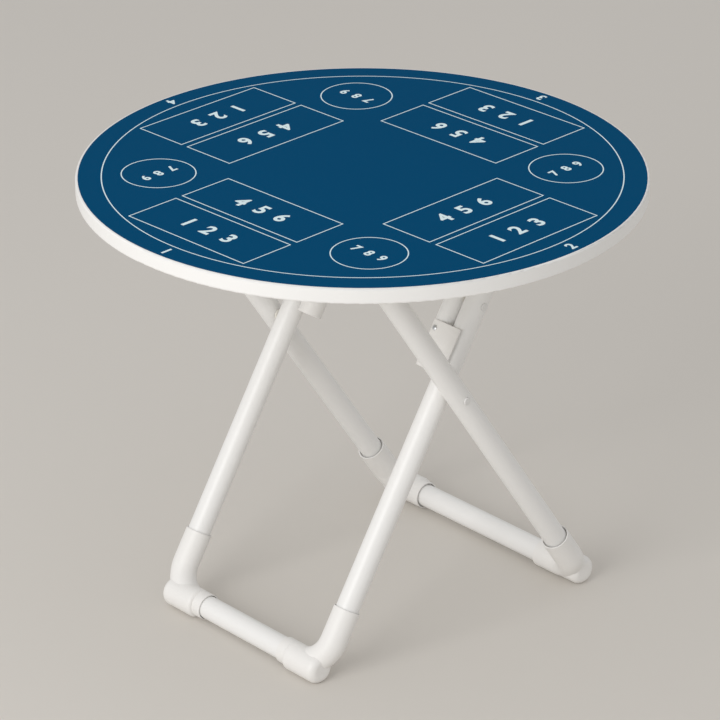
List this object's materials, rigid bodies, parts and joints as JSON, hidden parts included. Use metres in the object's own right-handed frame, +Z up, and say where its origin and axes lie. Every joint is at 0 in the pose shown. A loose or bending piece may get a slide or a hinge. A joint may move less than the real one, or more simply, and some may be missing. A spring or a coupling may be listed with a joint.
{
  "type": "folding round table",
  "caption": "Round board on two crossed white tube frames with a folding brace; the frames close like scissors and the board swings down beside them.",
  "frame": {"origin": "on the floor under the middle of the board, with the table open", "axes": "+Z up; +X along the hinge lines and the foot bars; +Y from the inner frame's feet towards the outer frame's feet"},
  "size_m": [0.8999, 0.9, 0.748],
  "materials": {
    "white_board": "white melamine-faced fibreboard, satin",
    "blue_print": "blue printed laminate, satin",
    "edge_white": "extruded PVC edge band, satin",
    "painted_tube": "white powder coat on steel tube",
    "white_plastic": "moulded white polypropylene",
    "painted_steel": "white painted steel rivet",
    "zinc_steel": "zinc-plated steel screw",
    "nylon": "natural nylon"
  },
  "bodies": {
    "inner_frame": {"inner_foot_bar": "painted_tube", "inner_foot_left": "white_plastic", "inner_foot_right": "white_plastic", "inner_leg_left": "painted_tube", "inner_leg_right": "painted_tube", "inner_leg_plug_left": "white_plastic", "inner_leg_plug_right": "white_plastic", "knee_rivet_left": "painted_steel", "knee_rivet_right": "painted_steel", "knee_washer_left": "nylon", "knee_washer_right": "nylon"},
    "outer_frame": {"outer_foot_bar": "painted_tube", "outer_foot_left": "white_plastic", "outer_foot_right": "white_plastic", "outer_leg_left": "painted_tube", "outer_leg_right": "painted_tube", "outer_top_bar": "painted_tube", "outer_top_fitting_left": "white_plastic", "outer_top_fitting_right": "white_plastic", "pivot_rivet_left": "painted_steel", "pivot_rivet_right": "painted_steel", "pivot_washer_left": "nylon", "pivot_washer_right": "nylon"},
    "brace": {"brace_arm_left": "painted_tube", "brace_arm_right": "painted_tube", "brace_sleeve_left": "white_plastic", "brace_sleeve_right": "white_plastic", "brace_top_bar": "painted_tube", "brace_top_fitting_left": "white_plastic", "brace_top_fitting_right": "white_plastic", "sleeve_screw_left": "zinc_steel", "sleeve_screw_right": "zinc_steel"},
    "tabletop": {"board_core": "white_board", "printed_surface": "blue_print", "edge_band": "edge_white", "saddle_screws": "zinc_steel", "cradle_screws": "zinc_steel", "hinge_saddle_left": "white_plastic", "hinge_saddle_right": "white_plastic", "bar_cradle_left": "white_plastic", "bar_cradle_right": "white_plastic"}
  },
  "joints": [
    {"name": "leg_fold", "type": "hinge", "parent": "inner_frame", "child": "outer_frame", "pos_m": [0, 0, 0.432], "axis": [-1, 0, 0], "range_deg": [0, 59.95]},
    {"name": "knee_fold", "type": "hinge", "parent": "inner_frame", "child": "brace", "pos_m": [0, 0.07657, 0.55563], "axis": [-1, 0, 0], "range_deg": [0, 165.19]},
    {"name": "board_swing", "type": "hinge", "parent": "brace", "child": "tabletop", "pos_m": [0, 0.16536, 0.699], "axis": [1, 0, 0], "range_deg": [0, 56.61]}
  ],
  "couplings": [
    {"joint": "knee_fold", "follows": "leg_fold", "ratio": 2.747},
    {"joint": "board_swing", "follows": "leg_fold", "ratio": 0.936}
  ]
}
